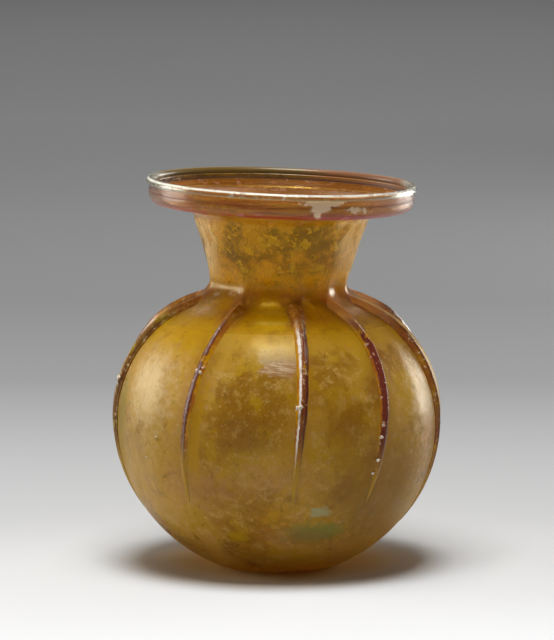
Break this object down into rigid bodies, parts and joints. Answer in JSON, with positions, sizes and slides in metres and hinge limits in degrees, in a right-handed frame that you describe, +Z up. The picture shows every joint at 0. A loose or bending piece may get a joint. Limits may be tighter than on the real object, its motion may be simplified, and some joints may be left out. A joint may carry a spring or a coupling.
{
  "type": "ribbed oil flask",
  "caption": "Globular blown glass flask with pinched vertical ribs, a short funnel neck and a broad dished collar mouth; holds and pours scented oil.",
  "frame": {"origin": "middle of the flat ring that the flask stands on", "axes": "+Z up along the ball's axis, -Y towards the viewer of the picture, +X to the viewer's right"},
  "size_m": [0.0678, 0.0684, 0.0802],
  "materials": {
    "body_glass": "weathered, milky amber",
    "neck_glass": "mottled golden amber",
    "collar_glass": "clear, rose-tinted",
    "lip_glass": "whitish, weathered",
    "rib_glass": "dark amber, plum lines"
  },
  "bodies": {
    "root": {"base_disc": "body_glass", "body_lower": "body_glass", "body_shoulder": "body_glass", "neck_foot": "neck_glass", "neck_funnel": "neck_glass", "mouth_flange": "collar_glass", "collar_wall": "collar_glass", "lip_roll": "lip_glass", "rib_01": "rib_glass", "rib_02": "rib_glass", "rib_03": "rib_glass", "rib_04": "rib_glass", "rib_05": "rib_glass", "rib_06": "rib_glass", "rib_07": "rib_glass", "rib_08": "rib_glass", "rib_09": "rib_glass", "rib_10": "rib_glass"}
  },
  "joints": []
}
